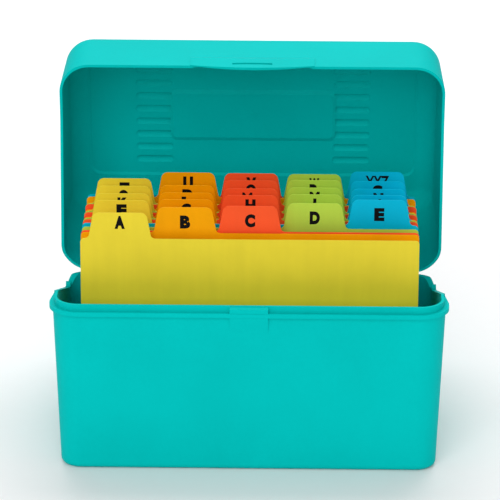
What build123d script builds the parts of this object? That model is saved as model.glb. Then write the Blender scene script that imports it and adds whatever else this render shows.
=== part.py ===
from build123d import *
import os

# Flip-top card file for 4 x 6 in cards, with 25 five-cut A-Z guide cards, lid open on its stop.
# Millimetres. X is the width, +Y points from the front wall to the hinge, Z is up.
# The origin is the centre of the base's underside. Depths named Y are measured from the front plane.

# Driving sizes
WIDTH = 179.4           # over the base's ledge and the closed lid's rim
DEPTH = 98.0            # same, front to back
CORNER_R = 13.6         # upright corners at the ledge
BASE_WALL = 2.2
FLOOR = 1.6
LEDGE_TOP = 77.0
LEDGE_T = 1.9
LEDGE_OUT = 1.45        # how far the ledge stands out of the wall
LEDGE_FULL_Y = 16.0     # the ledge runs round the front and, on each side, tapers away from here
LEDGE_END_Y = 30.0      # to here
BASE_SIDE_DRAFT = 3.0   # the side walls lean in by this much from the ledge to the underside
BASE_END_DRAFT = 2.1    # the same for the front and back walls
BOTTOM_R = 2.6
LIP_RISE = 3.0          # the lip above the ledge, which the closed lid covers
LIP_SET_BACK = 2.4
REBATE_END_Y = 25.0
RIM_TOP = LEDGE_TOP + LIP_RISE
REAR_RIM = 61.3
RIM_DIP = 57.4          # the side rims slope down to here, then rise to the rear rim
SLOPE_START_Y = 20.0
SLOPE_END_Y = 84.5
DIP_END_Y = 88.5
RISE_END_Y = 92.0
SLOPE_BLEND_R = 9.0
CATCH_W = 17.2
CATCH_FACE_Y = 0.2
CATCH_ROOT_Z = 67.0
NUB_R = 1.6
NUB_L = 2.2

# Lid, drawn closed and then opened to its stop
LID_TOP = 120.2
LID_WALL = 1.3
LID_PANEL = 1.7
LID_GAP = 0.3
LID_RIM = LEDGE_TOP + LID_GAP
LID_REAR_RIM = 58.4     # the lid's rear wall hangs outside the base's
LID_PROUD = 0.45        # the lid's rim stands this far outside the ledge
LID_SIDE_DRAFT = 1.4    # the lid's side walls lean in by this much from the rim to the panel
LID_END_DRAFT = 3.6
LID_SKIRT_DRAFT = 0.4   # and by this much from the rim down the rear half's skirt
LID_EDGE_R = 11.0
RELIEF = 0.8            # height of the raised field, and depth of the label recess in it
FIELD_W = 157.8
FIELD_D = 64.5
FIELD_CENTRE_Y = 45.8
FIELD_SLOPE = 1.2       # width of the field's sloping edge
LABEL_W = 77.0
LABEL_D = 23.4
LABEL_SLOPE = 2.0
RIB_L = 18.0
RIB_W = 3.6
RIB_RISE = 0.7
RIB_PITCH = 6.8
RIB_COUNT = 8
RIB_X = 47.5
GATE_R = 1.6
GATE_RISE = 0.35
TONGUE_W = 58.0
TONGUE_UP = 11.6
TONGUE_DOWN = 5.6
TONGUE_INNER_Y = -1.05  # its hanging part passes in front of the ledge and the catch
TONGUE_INNER_SIDE_Y = -0.45
TONGUE_STEP = 0.35
SLOT_W = 18.5
SLOT_H = 1.7
SLOT_Z = 76.1

# Hinge: stub pins on the lid run in ears on the base
HINGE_Y = 99.6
HINGE_Z = 60.4
OPEN_DEG = 81.0
HINGE_X = 50.0
BARREL_R = 2.8
PIN_R = 1.5
PIN_PLAY = 0.05
EAR_T = 3.0
ARM_W = 10.0
SIDE_PLAY = 0.4
STOP_REACH_Y = 108.0
STOP_GAP = 0.3

# Guide cards
CARD_W = 152.4
CARD_H = 101.6
TAB_H = 12.2
TAB_PITCH = 29.2
TAB_FOOT_W = 28.4
TAB_TOP_W = 23.8
TAB_TOP_R = 3.0
TAB_FOOT_R = 2.0
CARD_TOP_R = 1.8
CARD_FOOT_R = 1.5
GUIDE_T = 0.45
GUIDE_FLOOR_GAP = 0.2
FIRST_GUIDE_Y = 25.2
GUIDE_PITCH = 1.9
EXTRA_GAP = {"b": 2.5, "d": 5.0, "u": 3.2}  # the stack is parted a little in front of these guides
STANDS_HIGH = {         # the guides stand at uneven heights: how far each is off the floor
    "b": 1.3, "c": 1.5, "d": 0.7, "e": 1.9, "h": 1.6, "i": 1.6, "j": 0.9, "mc": 1.6, "m": 1.6, "n": 0.6,
    "o": 0.4, "p": 0.3, "q": 2.3, "r": 2.0, "s": 1.1, "t": 0.8, "u": 2.2, "v": 1.4, "w": 0.6, "xyz": 1.4,
}
LABELS = "a b c d e f g h i j k l mc m n o p q r s t u v w xyz".split()
COLUMNS = 5


def depth(y):
    """The Y coordinate of a point y behind the front plane."""
    return y - DEPTH / 2


def rounded_block(low, high):
    """A block with rounded upright corners between two levels, each (width, depth, corner radius, z)."""
    ends = [Pos(0, 0, z) * RectangleRounded(w, d, r) for w, d, r, z in (low, high)]
    return loft(ends, ruled=True)


def box_between(x, y, z):
    """A box from three (low, high) pairs, y counted from the front plane."""
    size = [high - low for low, high in (x, y, z)]
    centre = ((x[0] + x[1]) / 2, depth((y[0] + y[1]) / 2), (z[0] + z[1]) / 2)
    return Pos(*centre) * Box(*size)


def side_profile(points, x_low, x_high, blends=()):
    """Extrudes a side-view outline of (y from the front plane, z) along X, rounding the named corners."""
    outline = Polyline(*[(depth(y), z) for y, z in points], close=True)
    face = make_face(Plane.XY * outline)
    for (y, z), radius in blends:
        corner = face.vertices().sort_by_distance((depth(y), z, 0))[0]
        face = fillet(corner, radius)
    return Pos(x_low, 0, 0) * extrude(Plane.YZ * face, x_high - x_low)


def rod(radius, x_low, x_high, y, z):
    """A round rod along X."""
    return Pos((x_low + x_high) / 2, depth(y), z) * Rot(0, 90, 0) * Cylinder(radius, x_high - x_low)


def base_block(z_low, z_high, inset):
    """The base's drafted outer form between two levels, shrunk by inset all round."""
    ends = []
    for z in (z_low, z_high):
        lean = (LEDGE_TOP - z) / LEDGE_TOP
        shrink_x = LEDGE_OUT + BASE_SIDE_DRAFT * lean + inset
        shrink_y = LEDGE_OUT + BASE_END_DRAFT * lean + inset
        radius = CORNER_R - LEDGE_OUT - 2.5 * lean - inset
        ends.append((WIDTH - 2 * shrink_x, DEPTH - 2 * shrink_y, radius, z))
    return rounded_block(*ends)


def lid_section(z, inset):
    """A level of the closed lid's outer form, shrunk by inset all round."""
    up = max(0, (z - LID_RIM) / (LID_TOP - RELIEF - LID_RIM))
    down = max(0, (LID_RIM - z) / (LID_RIM - RIM_DIP))
    width = WIDTH + 2 * (LID_PROUD - LID_SIDE_DRAFT * up - LID_SKIRT_DRAFT * down - inset)
    length = DEPTH + 2 * (LID_PROUD - LID_END_DRAFT * up - inset)
    return width, length, CORNER_R + LID_PROUD - 1.2 * up - inset, z


def lid_block(z_low, z_high, inset):
    """The closed lid's outer form between two levels either side of its rim, shrunk by inset."""
    skirt = rounded_block(lid_section(z_low, inset), lid_section(LID_RIM, inset))
    return skirt + rounded_block(lid_section(LID_RIM, inset), lid_section(z_high, inset))


def rim_outline(lift, top, front, rear):
    """Side-view outline of the space above the side rims, raised by lift and level at both ends."""
    fall = (RIM_TOP - RIM_DIP) / (SLOPE_END_Y - SLOPE_START_Y)
    start = SLOPE_START_Y + (RIM_TOP + lift - front) / fall
    return [
        (start, front),
        (SLOPE_END_Y, RIM_DIP + lift),
        (DIP_END_Y, RIM_DIP + lift),
        (RISE_END_Y, rear),
        (DEPTH + 12, rear),
        (DEPTH + 12, top),
        (-12, top),
        (-12, front),
    ]


def above_rims(lift, top, front, rear):
    """The space above the side rims, with the slope blended into the level stretches."""
    outline = rim_outline(lift, top, front, rear)
    blends = [(outline[0], SLOPE_BLEND_R), (outline[1], SLOPE_BLEND_R), (outline[2], 2.0), (outline[3], 2.0)]
    return side_profile(outline, -WIDTH, WIDTH, blends)


def hinge_ears():
    """Two pairs of ears behind the base, each with a pin hole and a toe that the open lid rests on."""
    wall_y = DEPTH - LEDGE_OUT - BASE_WALL / 2 - 1.0
    toe = [
        (wall_y, HINGE_Z - 16),
        (STOP_REACH_Y, HINGE_Z - 3),
        (STOP_REACH_Y, stop_height(STOP_REACH_Y)),
        (HINGE_Y + BARREL_R + 0.6, stop_height(HINGE_Y + BARREL_R + 0.6)),
        (HINGE_Y + 1.0, HINGE_Z - 1.0),
        (wall_y, HINGE_Z - 1.0),
    ]
    ears = []
    for side in (-1, 1):
        for edge in (-1, 1):
            centre = side * HINGE_X + edge * (ARM_W / 2 + SIDE_PLAY + EAR_T / 2)
            low, high = centre - EAR_T / 2, centre + EAR_T / 2
            ear = side_profile(toe, low, high) + rod(BARREL_R, low, high, HINGE_Y, HINGE_Z)
            ears.append(ear - rod(PIN_R + PIN_PLAY, low - 1, high + 1, HINGE_Y, HINGE_Z))
    return ears


def stop_height(y):
    """Height of the stop face under the open lid's rear wall, y behind the front plane."""
    wall = Vector(0, DEPTH + LID_PROUD - HINGE_Y, 0).rotate(Axis.X, -OPEN_DEG)
    run = Vector(0, 0, 1).rotate(Axis.X, -OPEN_DEG)
    return HINGE_Z + wall.Z + (y - HINGE_Y - wall.Y) * run.Z / run.Y - STOP_GAP


def catch():
    """The catch at the middle of the front rim: a sloping top, and a face that runs down into the wall."""
    half = CATCH_W / 2
    inner_y = LIP_SET_BACK + 0.6
    outline = [
        (CATCH_FACE_Y, LEDGE_TOP - LEDGE_T),
        (CATCH_FACE_Y, RIM_TOP - 0.9),
        (inner_y, RIM_TOP - 0.2),
        (inner_y, CATCH_ROOT_Z),
        (LEDGE_OUT + 0.3, CATCH_ROOT_Z),
    ]
    return side_profile(outline, -half, half)


def base_box():
    """The open-topped box with its ledge, lip, sloping side rims, catch and hinge ears."""
    shell = base_block(0, RIM_TOP, 0)
    shell = fillet(shell.faces().sort_by(Axis.Z)[0].edges(), BOTTOM_R)
    ledge = extrude(Pos(0, 0, LEDGE_TOP - LEDGE_T) * RectangleRounded(WIDTH, DEPTH, CORNER_R), LEDGE_T)
    half, inner = WIDTH / 2, WIDTH / 2 - LEDGE_OUT - 0.5
    ends = [(-half, -1), (half, -1), (half, LEDGE_FULL_Y), (inner, LEDGE_END_Y)]
    ends += [(-inner, LEDGE_END_Y), (-half, LEDGE_FULL_Y)]
    ledge &= extrude(make_face(Polyline(*[(x, depth(y)) for x, y in ends], close=True)), RIM_TOP)
    lip = base_block(LEDGE_TOP - 1, RIM_TOP + 1, LIP_SET_BACK - LEDGE_OUT)
    rebate = box_between((-WIDTH, WIDTH), (-1, REBATE_END_Y), (LEDGE_TOP, RIM_TOP + 1)) - lip
    cavity = base_block(FLOOR, RIM_TOP + 1, BASE_WALL)
    cavity = fillet(cavity.faces().sort_by(Axis.Z)[0].edges(), BOTTOM_R - 1)
    solid = shell + ledge - rebate + catch() - cavity - above_rims(0, RIM_TOP + 5, RIM_TOP, REAR_RIM)
    for side in (-1, 1):
        x = side * (WIDTH / 2 - LIP_SET_BACK - NUB_L / 2)
        solid += rod(NUB_R, x - NUB_L / 2, x + NUB_L / 2, DIP_END_Y - NUB_R, RIM_DIP + 0.4)
    for ear in hinge_ears():
        solid += ear
    return solid


def bowed_block(half, side_y, nose_y, back_y, z_low, z_high):
    """A block flat at back_y whose front bows forward from side_y at its ends to nose_y in the middle."""
    front = ThreePointArc((-half, depth(side_y)), (0, depth(nose_y)), (half, depth(side_y)))
    back = [(half, side_y), (half, back_y), (-half, back_y), (-half, side_y)]
    plan = make_face(front + Polyline(*[(x, depth(y)) for x, y in back]))
    return extrude(Pos(0, 0, z_low) * plan, z_high - z_low)


def tongue_form(half, shift, low_z):
    """The bowed form of the latch tongue, moved back by shift; its lower edge is an arc down to low_z."""
    side_y = -LID_PROUD - TONGUE_STEP + shift
    nose_y = TONGUE_INNER_Y - LID_WALL + shift
    back_y = LID_WALL - LID_PROUD + shift
    wall_y = -LID_PROUD + LID_END_DRAFT * TONGUE_UP / (LID_TOP - LID_RIM) + shift
    wedge = [
        (back_y, LID_RIM + TONGUE_UP),
        (wall_y, LID_RIM + TONGUE_UP),
        (nose_y, LID_RIM + TONGUE_UP / 3),
        (nose_y, LID_RIM - 12),
        (back_y, LID_RIM - 12),
    ]
    edge = ThreePointArc((-half, LID_RIM), (0, low_z), (half, LID_RIM))
    top = LID_RIM + 20
    face = make_face(edge + Polyline((half, LID_RIM), (half, top), (-half, top), (-half, LID_RIM)))
    front = extrude(Pos(0, depth(8), 0) * (Plane.XZ * face), 16)
    bowed = bowed_block(half, side_y, nose_y, back_y, LID_RIM - 12, LID_RIM + TONGUE_UP)
    return bowed & side_profile(wedge, -half, half) & front


def slope_block(width, length, radius, z_narrow, z_wide, slope, root):
    """A low block, wider by slope all round at z_wide, and run on straight past that level by root."""
    wide = (width + 2 * slope, length + 2 * slope, radius + slope)
    sides = rounded_block((*wide, z_wide), (width, length, radius, z_narrow))
    run = rounded_block((*wide, z_wide), (*wide, z_wide + root))
    return Pos(0, depth(FIELD_CENTRE_Y), 0) * (sides + run)


def capsules(z, rise):
    """Round-ended bars along X whose caps cut the plane z, RIB_W wide and rise high, in two columns."""
    radius = (RIB_W**2 / 4 + rise**2) / (2 * rise)
    bars = []
    for side in (-1, 1):
        for step in range(RIB_COUNT):
            y = FIELD_CENTRE_Y + (step - (RIB_COUNT - 1) / 2) * RIB_PITCH
            low = side * RIB_X - (RIB_L - RIB_W) / 2
            high = low + RIB_L - RIB_W
            ends = Pos(low, depth(y), z + rise - radius) * Sphere(radius)
            ends += Pos(high, depth(y), z + rise - radius) * Sphere(radius)
            bars.append(ends + rod(radius, low, high, y, z + rise - radius))
    return bars


def closed_lid():
    """The lid as it lies closed, without its hinge arms."""
    border = LID_TOP - RELIEF
    under = border - LID_PANEL
    shell = lid_block(RIM_DIP - 2, border, 0)
    shell = fillet(shell.faces().sort_by(Axis.Z)[-1].edges(), LID_EDGE_R)
    cavity = lid_block(RIM_DIP - 3, under, LID_WALL)
    cavity = fillet(cavity.faces().sort_by(Axis.Z)[-1].edges(), LID_EDGE_R - LID_WALL)
    field = slope_block(FIELD_W, FIELD_D, 6, LID_TOP, border, FIELD_SLOPE, -1.2)
    hollow = slope_block(FIELD_W - 2, FIELD_D - 2, 5, under + RELIEF, under, FIELD_SLOPE, -1.0)
    recess = slope_block(LABEL_W, LABEL_D, 2, border, LID_TOP, LABEL_SLOPE, 1.0)
    plateau = slope_block(LABEL_W, LABEL_D, 2, under, under + RELIEF, LABEL_SLOPE, 0.5)
    solid = shell + field
    for bar in capsules(LID_TOP, RIB_RISE):
        solid += bar & box_between((-WIDTH, WIDTH), (0, DEPTH), (LID_TOP - 0.6, LID_TOP + 2))
    solid = solid - recess - cavity - (hollow - plateau)
    for bar in capsules(under + RELIEF, RIB_RISE):
        solid -= bar & box_between((-WIDTH, WIDTH), (0, DEPTH), (under + RELIEF - 0.3, LID_TOP))
    gate = Pos(0, depth(FIELD_CENTRE_Y), under) * Cylinder(GATE_R, 2 * GATE_RISE)
    half = TONGUE_W / 2
    tongue = tongue_form(half, 0, LID_RIM - TONGUE_DOWN)
    behind = tongue_form(half - LID_WALL, LID_WALL, LID_RIM - 12)
    behind += bowed_block(half, TONGUE_INNER_SIDE_Y, TONGUE_INNER_Y, 4, LID_RIM - 12, LID_RIM)
    solid = solid & above_rims(LID_GAP, LID_TOP + 5, LID_RIM, LID_REAR_RIM)
    solid = solid + gate + tongue - behind
    slot_low = SLOT_Z - SLOT_H / 2
    slot = box_between((-SLOT_W / 2, SLOT_W / 2), (-6, 2), (slot_low, slot_low + SLOT_H))
    return solid - slot


def hinge_arms():
    """Two arms with barrels and stub pins at the foot of the closed lid's rear wall."""
    rear_y = DEPTH + LID_PROUD
    arms = []
    for side in (-1, 1):
        low, high = side * HINGE_X - ARM_W / 2, side * HINGE_X + ARM_W / 2
        reach = SIDE_PLAY + EAR_T
        web = [
            (rear_y - LID_WALL / 2, REAR_RIM + LID_GAP + 0.2),
            (HINGE_Y + BARREL_R * 0.8, HINGE_Z + 1),
            (rear_y, HINGE_Z + 11),
            (rear_y - LID_WALL / 2, HINGE_Z + 11),
        ]
        arm = side_profile(web, low, high) + rod(BARREL_R, low, high, HINGE_Y, HINGE_Z)
        arms.append(arm + rod(PIN_R, low - reach, high + reach, HINGE_Y, HINGE_Z))
    return arms


def ear_room():
    """Notches in the closed lid's rear rim that let it swing past the ears."""
    rooms = []
    for side in (-1, 1):
        for edge in (-1, 1):
            centre = side * HINGE_X + edge * (ARM_W / 2 + SIDE_PLAY + EAR_T / 2)
            half = EAR_T / 2 + SIDE_PLAY
            span = (centre - half, centre + half)
            rooms.append(box_between(span, (DEPTH - 6, DEPTH + 6), (REAR_RIM - 5, HINGE_Z + BARREL_R + 0.5)))
    return rooms


def lid():
    """The whole lid, open on its stop."""
    solid = closed_lid()
    for room in ear_room():
        solid -= room
    for arm in hinge_arms():
        solid += arm
    return open_up(solid)


def open_up(solid):
    """Swings a closed-lid solid about the hinge axis to its rest on the stop."""
    axis = Axis((0, depth(HINGE_Y), HINGE_Z), (1, 0, 0))
    return solid.rotate(axis, -OPEN_DEG)


def guide(label):
    """One guide card with its tab, standing in the base."""
    place = LABELS.index(label)
    centre = (place % COLUMNS - (COLUMNS - 1) / 2) * TAB_PITCH
    extra = sum(gap for name, gap in EXTRA_GAP.items() if LABELS.index(name) <= place)
    y = depth(FIRST_GUIDE_Y + place * GUIDE_PITCH + extra)
    z = FLOOR + GUIDE_FLOOR_GAP + STANDS_HIGH.get(label, 0)
    half, top = CARD_W / 2, CARD_H + TAB_H
    points = [
        (-half, 0), (half, 0), (half, CARD_H),
        (centre + TAB_FOOT_W / 2, CARD_H), (centre + TAB_TOP_W / 2, top),
        (centre - TAB_TOP_W / 2, top), (centre - TAB_FOOT_W / 2, CARD_H),
        (-half, CARD_H),
    ]
    radii = [CARD_FOOT_R, CARD_FOOT_R, CARD_TOP_R, TAB_FOOT_R, TAB_TOP_R, TAB_TOP_R, TAB_FOOT_R, CARD_TOP_R]
    outline = FilletPolyline(*points, radius=radii, close=True)
    return Pos(0, y, z) * extrude(Plane.XZ * make_face(outline), GUIDE_T)


def main():
    os.makedirs("parts", exist_ok=True)
    pieces = {"base": base_box(), "lid": lid()}
    for label in LABELS:
        pieces["guide_" + label] = guide(label)
    for name, solid in pieces.items():
        export_step(solid, os.path.join("parts", name + ".step"))


if __name__ == "__main__":
    main()
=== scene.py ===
"""A flip-top card file with its lid open and a set of tabbed alphabet guides, dressed for a product picture.

Lengths are in metres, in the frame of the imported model: X is the width, +Y points to the hinge, Z is up.
"""

import math

import bpy
from mathutils import Matrix, Vector


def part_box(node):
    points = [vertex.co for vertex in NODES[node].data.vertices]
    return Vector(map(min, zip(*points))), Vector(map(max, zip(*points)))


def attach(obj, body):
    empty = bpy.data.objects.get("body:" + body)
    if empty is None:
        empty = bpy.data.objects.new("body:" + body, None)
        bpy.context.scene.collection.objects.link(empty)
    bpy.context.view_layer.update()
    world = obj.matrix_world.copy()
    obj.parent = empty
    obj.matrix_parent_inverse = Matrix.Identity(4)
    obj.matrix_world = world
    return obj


bl_info = {
    "name": "Card File",
    "version": (1, 0, 0),
    "blender": (4, 5, 0),
    "location": "3D View > Sidebar > Card File",
    "description": "Finishes a flip-top card file box and its alphabet guides",
    "category": "Object",
}

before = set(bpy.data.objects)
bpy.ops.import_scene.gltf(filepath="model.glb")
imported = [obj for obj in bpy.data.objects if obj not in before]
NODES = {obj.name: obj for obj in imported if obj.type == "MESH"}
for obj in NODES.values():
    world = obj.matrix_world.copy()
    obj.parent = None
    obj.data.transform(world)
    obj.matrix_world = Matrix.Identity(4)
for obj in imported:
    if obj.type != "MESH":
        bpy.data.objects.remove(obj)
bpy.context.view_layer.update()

MM = 0.001
LABELS = "a b c d e f g h i j k l mc m n o p q r s t u v w xyz".split()
COLUMN_COLOURS = ("yellow", "orange", "red", "lime", "blue")
FRONT_ROW = LABELS[: len(COLUMN_COLOURS)]
NARROW = "IJ"

# From the top edge of a tab down to the top of its letter
DROP = 1.8 * MM
FIRST_DROP = 1.4 * MM
FRONT_DROP = 3.8 * MM


# Sizes and colours that a user may change


class BoxSettings(bpy.types.PropertyGroup):
    """Finish of the moulded box."""

    colour: bpy.props.FloatVectorProperty(
        name="Box colour",
        description="Colour of the moulded plastic",
        subtype="COLOR",
        size=3,
        min=0.0,
        max=1.0,
        default=(0.0, 0.53, 0.505),
    )
    roughness: bpy.props.FloatProperty(
        name="Box roughness",
        description="Roughness of the satin surface",
        default=0.52,
        min=0.0,
        max=1.0,
        subtype="FACTOR",
    )
    grain: bpy.props.FloatProperty(
        name="Grain size",
        description="Size of the fine mould texture",
        default=0.9 * MM,
        unit="LENGTH",
    )


class GuideSettings(bpy.types.PropertyGroup):
    """Colours of the guides and the size of their letters."""

    yellow: bpy.props.FloatVectorProperty(
        name="Yellow", description="First column of guides", subtype="COLOR", default=(0.83, 0.66, 0.04)
    )
    orange: bpy.props.FloatVectorProperty(
        name="Orange", description="Second column of guides", subtype="COLOR", default=(0.90, 0.36, 0.0)
    )
    red: bpy.props.FloatVectorProperty(
        name="Red", description="Third column of guides", subtype="COLOR", default=(0.95, 0.10, 0.025)
    )
    lime: bpy.props.FloatVectorProperty(
        name="Lime", description="Fourth column of guides", subtype="COLOR", default=(0.46, 0.68, 0.07)
    )
    blue: bpy.props.FloatVectorProperty(
        name="Blue", description="Fifth column of guides", subtype="COLOR", default=(0.0, 0.47, 0.70)
    )
    roughness: bpy.props.FloatProperty(
        name="Sheet roughness",
        description="Roughness of the guides' plastic sheet",
        default=0.48,
        min=0.0,
        max=1.0,
        subtype="FACTOR",
    )
    letter_height: bpy.props.FloatProperty(
        name="Letter height", description="Height of a capital", default=6.2 * MM, unit="LENGTH"
    )
    letter_squeeze: bpy.props.FloatProperty(
        name="Letter squeeze",
        description="Width of the other labels as a share of the plain font's",
        default=0.80,
        subtype="FACTOR",
    )
    letter_weight: bpy.props.FloatProperty(
        name="Letter weight",
        description="Stroke thickening, as a share of the letter height",
        default=0.07,
        subtype="FACTOR",
    )
    letter_width: bpy.props.FloatProperty(
        name="Letter width", description="Width of a one-letter label", default=4.6 * MM, unit="LENGTH"
    )
    longest_width: bpy.props.FloatProperty(
        name="Longest label", description="Width of the three-letter label", default=11.0 * MM, unit="LENGTH"
    )
    ink_proud: bpy.props.FloatProperty(
        name="Ink thickness", description="How far the ink stands off the tab", default=0.04 * MM, unit="LENGTH"
    )


class StageSettings(bpy.types.PropertyGroup):
    """Camera and light."""

    distance: bpy.props.FloatProperty(
        name="Camera distance", description="From the camera to its target", default=1.4753, unit="LENGTH"
    )
    elevation: bpy.props.FloatProperty(
        name="Elevation", description="Camera's angle above the level", default=math.radians(20), subtype="ANGLE"
    )
    heading: bpy.props.FloatProperty(
        name="Heading",
        description="Camera's turn from straight ahead",
        default=math.radians(-0.58),
        subtype="ANGLE",
    )
    roll: bpy.props.FloatProperty(
        name="Roll",
        description="Camera's tilt about its own axis",
        default=math.radians(0.31),
        subtype="ANGLE",
    )
    lens: bpy.props.FloatProperty(
        name="Focal length", description="Of the camera's lens, in millimetres", default=232.0
    )
    target_height: bpy.props.FloatProperty(
        name="Target height", description="Height of the point looked at", default=89.3 * MM, unit="LENGTH"
    )
    key_power: bpy.props.FloatProperty(
        name="Key light", description="Power of the softbox above and behind, in watts", default=11.2
    )
    fill_power: bpy.props.FloatProperty(
        name="Fill light", description="Power of the front softbox, in watts", default=18.5
    )
    air: bpy.props.FloatProperty(
        name="Ambient", description="Strength of the white surroundings", default=0.50
    )


# Shader arithmetic


class Wire:
    """A shader socket that takes part in Python arithmetic."""

    def __init__(self, tree, socket):
        self.tree = tree
        self.socket = socket

    def node(self, kind, settings=None, values=None, output=0):
        """Adds a node of any type; returns one of its outputs. Settings are set before values and links."""
        made = self.tree.nodes.new(kind)
        for name, value in (settings or {}).items():
            if name == "stops":
                ramp = made.color_ramp
                while len(ramp.elements) < len(value):
                    ramp.elements.new(0.5)
                for element, (place, shade) in zip(ramp.elements, value):
                    element.position = place
                    element.color = (shade, shade, shade, 1.0)
            else:
                setattr(made, name, value)
        for name, value in (values or {}).items():
            if isinstance(value, Wire):
                self.tree.links.new(value.socket, made.inputs[name])
            else:
                made.inputs[name].default_value = value
        return Wire(self.tree, made.outputs[output])

    def maths(self, operation, first, second):
        """Adds a Math node."""
        return self.node("ShaderNodeMath", {"operation": operation}, {0: first, 1: second})

    def __add__(self, other):
        return self.maths("ADD", self, other)

    def __sub__(self, other):
        return self.maths("SUBTRACT", self, other)

    def __mul__(self, other):
        return self.maths("MULTIPLY", self, other)

    def __rsub__(self, other):
        return self.maths("SUBTRACT", other, self)

    __radd__ = __add__
    __rmul__ = __mul__


class Finish:
    """A material with one Principled shader, and the Wire that its texture nodes start from."""

    def __init__(self, name, **values):
        self.material = bpy.data.materials.new(name)
        self.material.use_nodes = True
        tree = self.material.node_tree
        self.shader = tree.nodes["Principled BSDF"]
        for socket, value in values.items():
            self.shader.inputs[socket.replace("_", " ")].default_value = value
        places = tree.nodes.new("ShaderNodeTexCoord")
        self.place = Wire(tree, places.outputs["Object"])

    def noise(self, size, detail=2.0, stretch=(1, 1, 1)):
        """Noise with features of about this size, in metres."""
        spread = self.place.node(
            "ShaderNodeMapping", {"vector_type": "POINT"}, {"Vector": self.place, "Scale": stretch}
        )
        return self.place.node(
            "ShaderNodeTexNoise", {}, {"Vector": spread, "Scale": 1.0 / size, "Detail": detail}
        )

    def ramp(self, value, *stops):
        """Maps a value through (place, level) stops to a number."""
        return self.place.node("ShaderNodeValToRGB", {"stops": stops}, {"Fac": value})

    def mix(self, share, first, second):
        """Mixes two colours."""
        values = {0: share}
        for key, colour in ((6, first), (7, second)):
            values[key] = colour if isinstance(colour, Wire) else (*colour, 1.0)
        return self.place.node("ShaderNodeMix", {"data_type": "RGBA"}, values, output=2)

    def drive(self, socket, wire):
        """Feeds one of the shader's sockets."""
        wire.tree.links.new(wire.socket, self.shader.inputs[socket])

    def bump(self, height, strength, depth):
        """Feeds the shader's normal from a height between 0 and 1, over a depth in metres."""
        normal = self.place.node(
            "ShaderNodeBump", {}, {"Strength": strength, "Distance": depth, "Height": height}
        )
        self.drive("Normal", normal)


def shade(colour, factor):
    """A colour made lighter or darker."""
    return tuple(min(1.0, channel * factor) for channel in colour)


def box_plastic(settings):
    """Satin injection-moulded plastic with a fine mould texture, flow clouding and light scuffs."""
    colour = tuple(settings.colour)
    finish = Finish("box_plastic", IOR=1.25, Specular_IOR_Level=0.06)
    cloud = finish.noise(45 * MM, 3.0)
    speckle = finish.noise(1.6 * MM, 2.0)
    tone = finish.ramp(cloud * 0.75 + speckle * 0.25, (0.36, 0.0), (0.64, 1.0))
    base = finish.mix(tone, shade(colour, 0.965), shade(colour, 1.035))
    scuffs = finish.ramp(finish.noise(5 * MM, 6.0, (1, 1, 0.12)), (0.66, 0.0), (0.72, 1.0))
    finish.drive("Base Color", finish.mix(scuffs * 0.05, base, shade(colour, 1.25)))
    finish.drive("Roughness", cloud * 0.08 + scuffs * 0.05 + (settings.roughness - 0.04))
    finish.bump(finish.noise(settings.grain, 3.0), 0.10, 0.08 * MM)
    return finish.material


def sheet_plastic(name, colour, settings):
    """Thin coloured plastic sheet, faintly mottled, with the drawn grain of extruded stock."""
    finish = Finish(name, IOR=1.49, Specular_IOR_Level=0.06)
    mottle = finish.noise(14 * MM, 3.0)
    drawn = finish.noise(3.5 * MM, 3.0, (1, 1, 0.06))
    tone = finish.ramp(mottle * 0.6 + drawn * 0.4, (0.36, 0.0), (0.66, 1.0))
    finish.drive("Base Color", finish.mix(tone, shade(colour, 0.965), shade(colour, 1.03)))
    finish.drive("Roughness", drawn * 0.10 + (settings.roughness - 0.05))
    finish.bump(finish.noise(0.7 * MM, 2.0), 0.06, 0.05 * MM)
    return finish.material


def tab_ink():
    """Black printing ink that lies a little unevenly."""
    finish = Finish("tab_ink", IOR=1.3, Specular_IOR_Level=0.05)
    cover = finish.noise(0.45 * MM, 3.0)
    finish.drive("Base Color", finish.mix(cover, (0.004, 0.004, 0.005), (0.010, 0.010, 0.010)))
    finish.drive("Roughness", cover * 0.2 + 0.45)
    finish.bump(cover, 0.15, 0.02 * MM)
    return finish.material


def studio_paper():
    """Plain pale paper for the flat floor under and around the box."""
    finish = Finish("studio_paper", Specular_IOR_Level=0.1)
    fibre = finish.noise(6 * MM, 3.0)
    finish.drive("Base Color", finish.mix(fibre, (0.915, 0.895, 0.90), (0.93, 0.91, 0.915)))
    finish.drive("Roughness", fibre * 0.1 + 0.8)
    return finish.material


# Pieces


def dress(node, material):
    """Gives a CAD node one material."""
    thing = NODES[node]
    thing.data.materials.clear()
    thing.data.materials.append(material)


def new_piece(name, mesh, material, body):
    """Links a mesh as a piece that rides on a CAD body."""
    piece = bpy.data.objects.new(name, mesh)
    bpy.context.scene.collection.objects.link(piece)
    mesh.materials.clear()
    mesh.materials.append(material)
    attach(piece, body)
    return piece


def letter_mesh(text, settings):
    """A bold, squeezed label as a thin solid, centred on X, standing on Z = 0 and facing -Y."""
    curve = bpy.data.curves.new("label", "FONT")
    curve.body = text
    curve.size = 1.0
    curve.offset = settings.letter_weight / len(text)
    curve.resolution_u = 6
    curve.extrude = 0.5
    typed = bpy.data.objects.new("label", curve)
    bpy.context.scene.collection.objects.link(typed)
    bpy.context.view_layer.update()
    mesh = bpy.data.meshes.new_from_object(typed)
    bpy.data.objects.remove(typed)
    bpy.data.curves.remove(curve)
    xs = [v.co.x for v in mesh.vertices]
    ys = [v.co.y for v in mesh.vertices]
    scale = settings.letter_height / (max(ys) - min(ys))
    middle = (max(xs) + min(xs)) / 2
    plain_width = max(xs) - min(xs)
    across = scale * settings.letter_squeeze
    if len(text) == 1 and text not in NARROW:
        across = settings.letter_width / plain_width
    elif len(text) == 3:
        across = settings.longest_width / plain_width
    place = Matrix.Diagonal((across, scale, 2 * settings.ink_proud, 1.0))
    mesh.transform(Matrix.Rotation(math.pi / 2, 4, "X") @ place @ Matrix.Translation((-middle, -min(ys), 0)))
    return mesh


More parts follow.
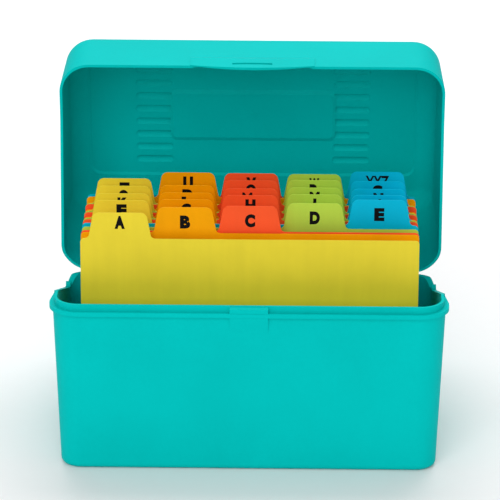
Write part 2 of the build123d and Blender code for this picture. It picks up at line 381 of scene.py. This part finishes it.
class CARDFILE_OT_finish_box(bpy.types.Operator):
    """Give the moulded base and lid their plastic"""

    bl_idname = "cardfile.finish_box"
    bl_label = "Finish Box"

    def execute(self, context):
        settings = context.scene.cardfile_box
        plastic = box_plastic(settings)
        dress("base", plastic)
        dress("lid", plastic)
        return {"FINISHED"}


class CARDFILE_OT_finish_guides(bpy.types.Operator):
    """Give every guide card the plastic sheet of its column"""

    bl_idname = "cardfile.finish_guides"
    bl_label = "Finish Guides"

    def execute(self, context):
        settings = context.scene.cardfile_guides
        sheets = {}
        for name in COLUMN_COLOURS:
            sheets[name] = sheet_plastic("guide_" + name, tuple(getattr(settings, name)), settings)
        for place, label in enumerate(LABELS):
            dress("guide_" + label, sheets[COLUMN_COLOURS[place % len(COLUMN_COLOURS)]])
        return {"FINISHED"}


class CARDFILE_OT_print_letters(bpy.types.Operator):
    """Print each guide's label on its tab"""

    bl_idname = "cardfile.print_letters"
    bl_label = "Print Letters"

    def execute(self, context):
        settings = context.scene.cardfile_guides
        ink = tab_ink()
        for label in LABELS:
            node = "guide_" + label
            low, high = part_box(node)
            tab_top = [v.co.x for v in NODES[node].data.vertices if v.co.z > high.z - 1 * MM]
            drop = DROP
            if label in FRONT_ROW:
                drop = FIRST_DROP if label == "a" else FRONT_DROP
            text = "Mc" if label == "mc" else label.upper()
            mesh = letter_mesh(text, settings)
            spot = ((min(tab_top) + max(tab_top)) / 2, low.y, high.z - drop - settings.letter_height)
            mesh.transform(Matrix.Translation(spot))
            new_piece("letter_" + label, mesh, ink, node)
        return {"FINISHED"}


class CARDFILE_OT_set_stage(bpy.types.Operator):
    """Lay the flat paper floor, hang the softboxes and place the camera"""

    bl_idname = "cardfile.set_stage"
    bl_label = "Set Stage"

    def execute(self, context):
        settings = context.scene.cardfile_stage
        floor_size = 12.0
        half = floor_size / 2
        mesh = bpy.data.meshes.new("studio_floor")
        corners = [(-half, -half, 0), (half, -half, 0), (half, half, 0), (-half, half, 0)]
        mesh.from_pydata(corners, [], [(0, 1, 2, 3)])
        mesh.materials.append(studio_paper())
        floor = bpy.data.objects.new("studio_floor", mesh)
        context.scene.collection.objects.link(floor)
        softbox("key_softbox", settings.key_power, 1.0, (0.05, 0.75, 1.1), (0, 0.25, 0.0))
        softbox("fill_softbox", settings.fill_power, 1.4, (-0.35, -1.7, 1.15), (0, 0.0, 0.08))
        world = bpy.data.worlds.new("studio_air")
        world.use_nodes = True
        back = world.node_tree.nodes["Background"]
        back.inputs["Color"].default_value = (1.0, 1.0, 1.0, 1.0)
        back.inputs["Strength"].default_value = settings.air
        context.scene.world = world
        context.scene.view_settings.view_transform = "Standard"
        place_camera(context, settings)
        return {"FINISHED"}


def softbox(name, power, size, location, aim):
    """A square area lamp aimed at a point."""
    light = bpy.data.lights.new(name, "AREA")
    light.energy = power
    light.size = size
    lamp = bpy.data.objects.new(name, light)
    bpy.context.scene.collection.objects.link(lamp)
    lamp.location = location
    direction = Vector(aim) - Vector(location)
    lamp.rotation_mode = "QUATERNION"
    lamp.rotation_quaternion = direction.to_track_quat("-Z", "Y")
    return lamp


def place_camera(context, settings):
    """Stands the camera back from its target and levels it to the settings' angles."""
    heading, elevation, roll = settings.heading, settings.elevation, settings.roll
    forward = Vector((
        math.sin(heading) * math.cos(elevation),
        math.cos(heading) * math.cos(elevation),
        -math.sin(elevation),
    ))
    level = Vector((math.cos(heading), -math.sin(heading), 0.0))
    upright = level.cross(forward)
    right = math.cos(roll) * level + math.sin(roll) * upright
    up = math.cos(roll) * upright - math.sin(roll) * level
    target = Vector((-0.14 * MM, 1.0 * MM, settings.target_height))
    camera = bpy.data.objects.new("camera", bpy.data.cameras.new("camera"))
    context.scene.collection.objects.link(camera)
    camera.data.lens = settings.lens
    camera.data.sensor_width = 36.0
    camera.data.clip_end = 50.0
    turn = Matrix((right, up, -forward)).transposed()
    camera.matrix_world = Matrix.Translation(target - forward * settings.distance) @ turn.to_4x4()
    context.scene.camera = camera


class CARDFILE_PT_panel(bpy.types.Panel):
    """Lists the card file's settings and operators"""

    bl_idname = "CARDFILE_PT_panel"
    bl_label = "Card File"
    bl_space_type = "VIEW_3D"
    bl_region_type = "UI"
    bl_category = "Card File"

    def draw(self, context):
        for group in (context.scene.cardfile_box, context.scene.cardfile_guides, context.scene.cardfile_stage):
            box = self.layout.box()
            for name in group.bl_rna.properties.keys():
                if name not in {"rna_type", "name"}:
                    box.prop(group, name)
        for operator in OPERATORS:
            self.layout.operator(operator.bl_idname)


GROUPS = {"cardfile_box": BoxSettings, "cardfile_guides": GuideSettings, "cardfile_stage": StageSettings}
OPERATORS = (
    CARDFILE_OT_finish_box,
    CARDFILE_OT_finish_guides,
    CARDFILE_OT_print_letters,
    CARDFILE_OT_set_stage,
)


def register():
    for group in GROUPS.values():
        bpy.utils.register_class(group)
    for operator in OPERATORS:
        bpy.utils.register_class(operator)
    bpy.utils.register_class(CARDFILE_PT_panel)
    for name, group in GROUPS.items():
        setattr(bpy.types.Scene, name, bpy.props.PointerProperty(type=group))


def unregister():
    for name in GROUPS:
        delattr(bpy.types.Scene, name)
    bpy.utils.unregister_class(CARDFILE_PT_panel)
    for operator in reversed(OPERATORS):
        bpy.utils.unregister_class(operator)
    for group in reversed(list(GROUPS.values())):
        bpy.utils.unregister_class(group)


def main():
    register()
    bpy.ops.cardfile.finish_box()
    bpy.ops.cardfile.finish_guides()
    bpy.ops.cardfile.print_letters()
    bpy.ops.cardfile.set_stage()


if __name__ == "__main__":
    main()
